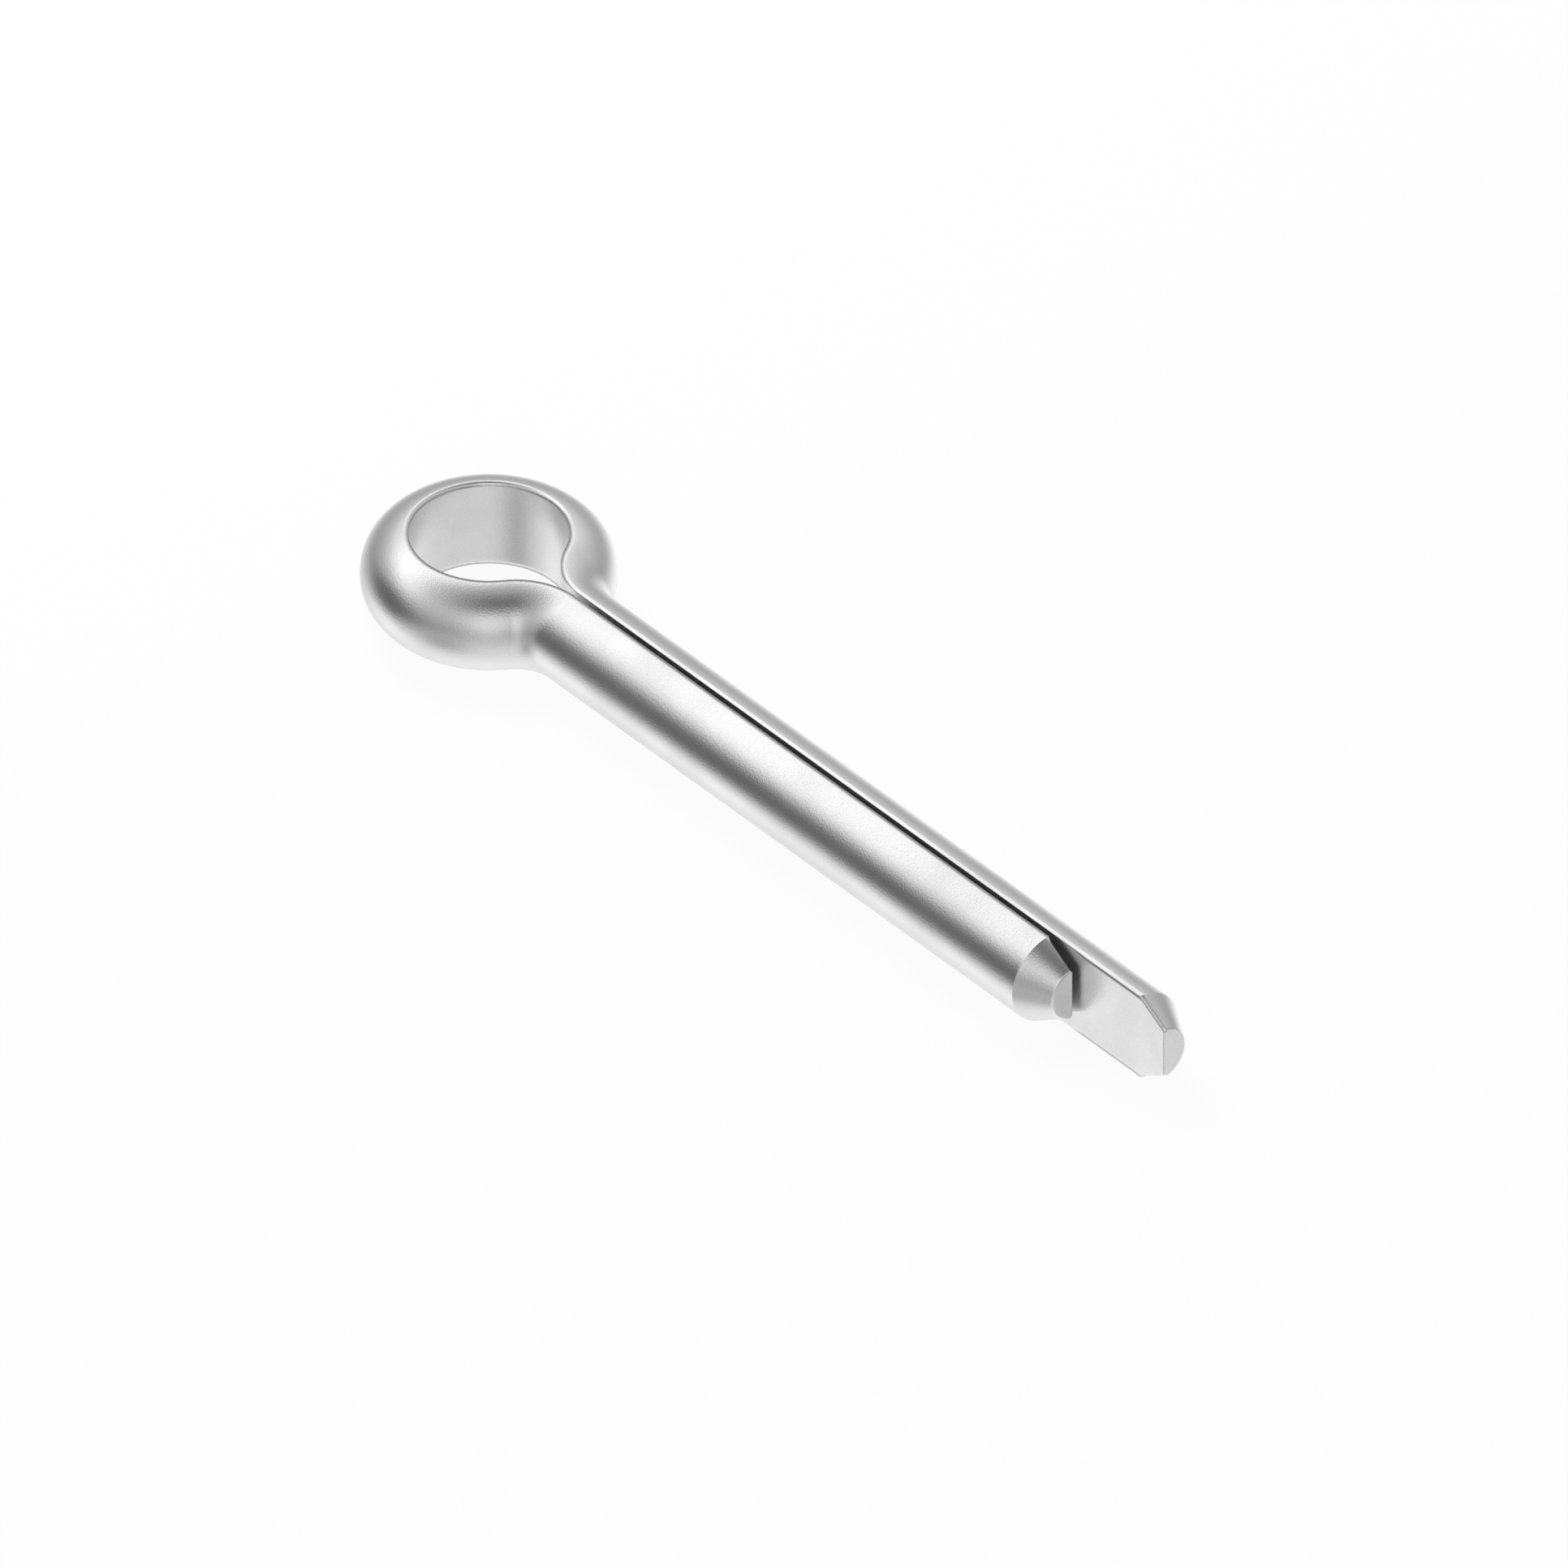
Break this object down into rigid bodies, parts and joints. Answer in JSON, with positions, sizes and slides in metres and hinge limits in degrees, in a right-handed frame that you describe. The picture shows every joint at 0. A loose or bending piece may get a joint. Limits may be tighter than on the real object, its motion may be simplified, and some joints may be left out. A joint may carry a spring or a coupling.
{
  "type": "cotter pin",
  "caption": "Split cotter pin folded from half-round steel wire: round eye, reverse-bent necks, and straight parallel legs of unequal length with tapered tips that close to a slit round shank.",
  "frame": {"origin": "centre of the eye, half way up its wall", "axes": "+X along the legs from the eye to the tips, +Y towards the longer leg, +Z along the eye's axis, up"},
  "size_m": [0.0676, 0.0148, 0.0058],
  "materials": {
    "steel_wire": "satin"
  },
  "bodies": {
    "root": {"cotter_pin": "steel_wire"}
  },
  "joints": []
}
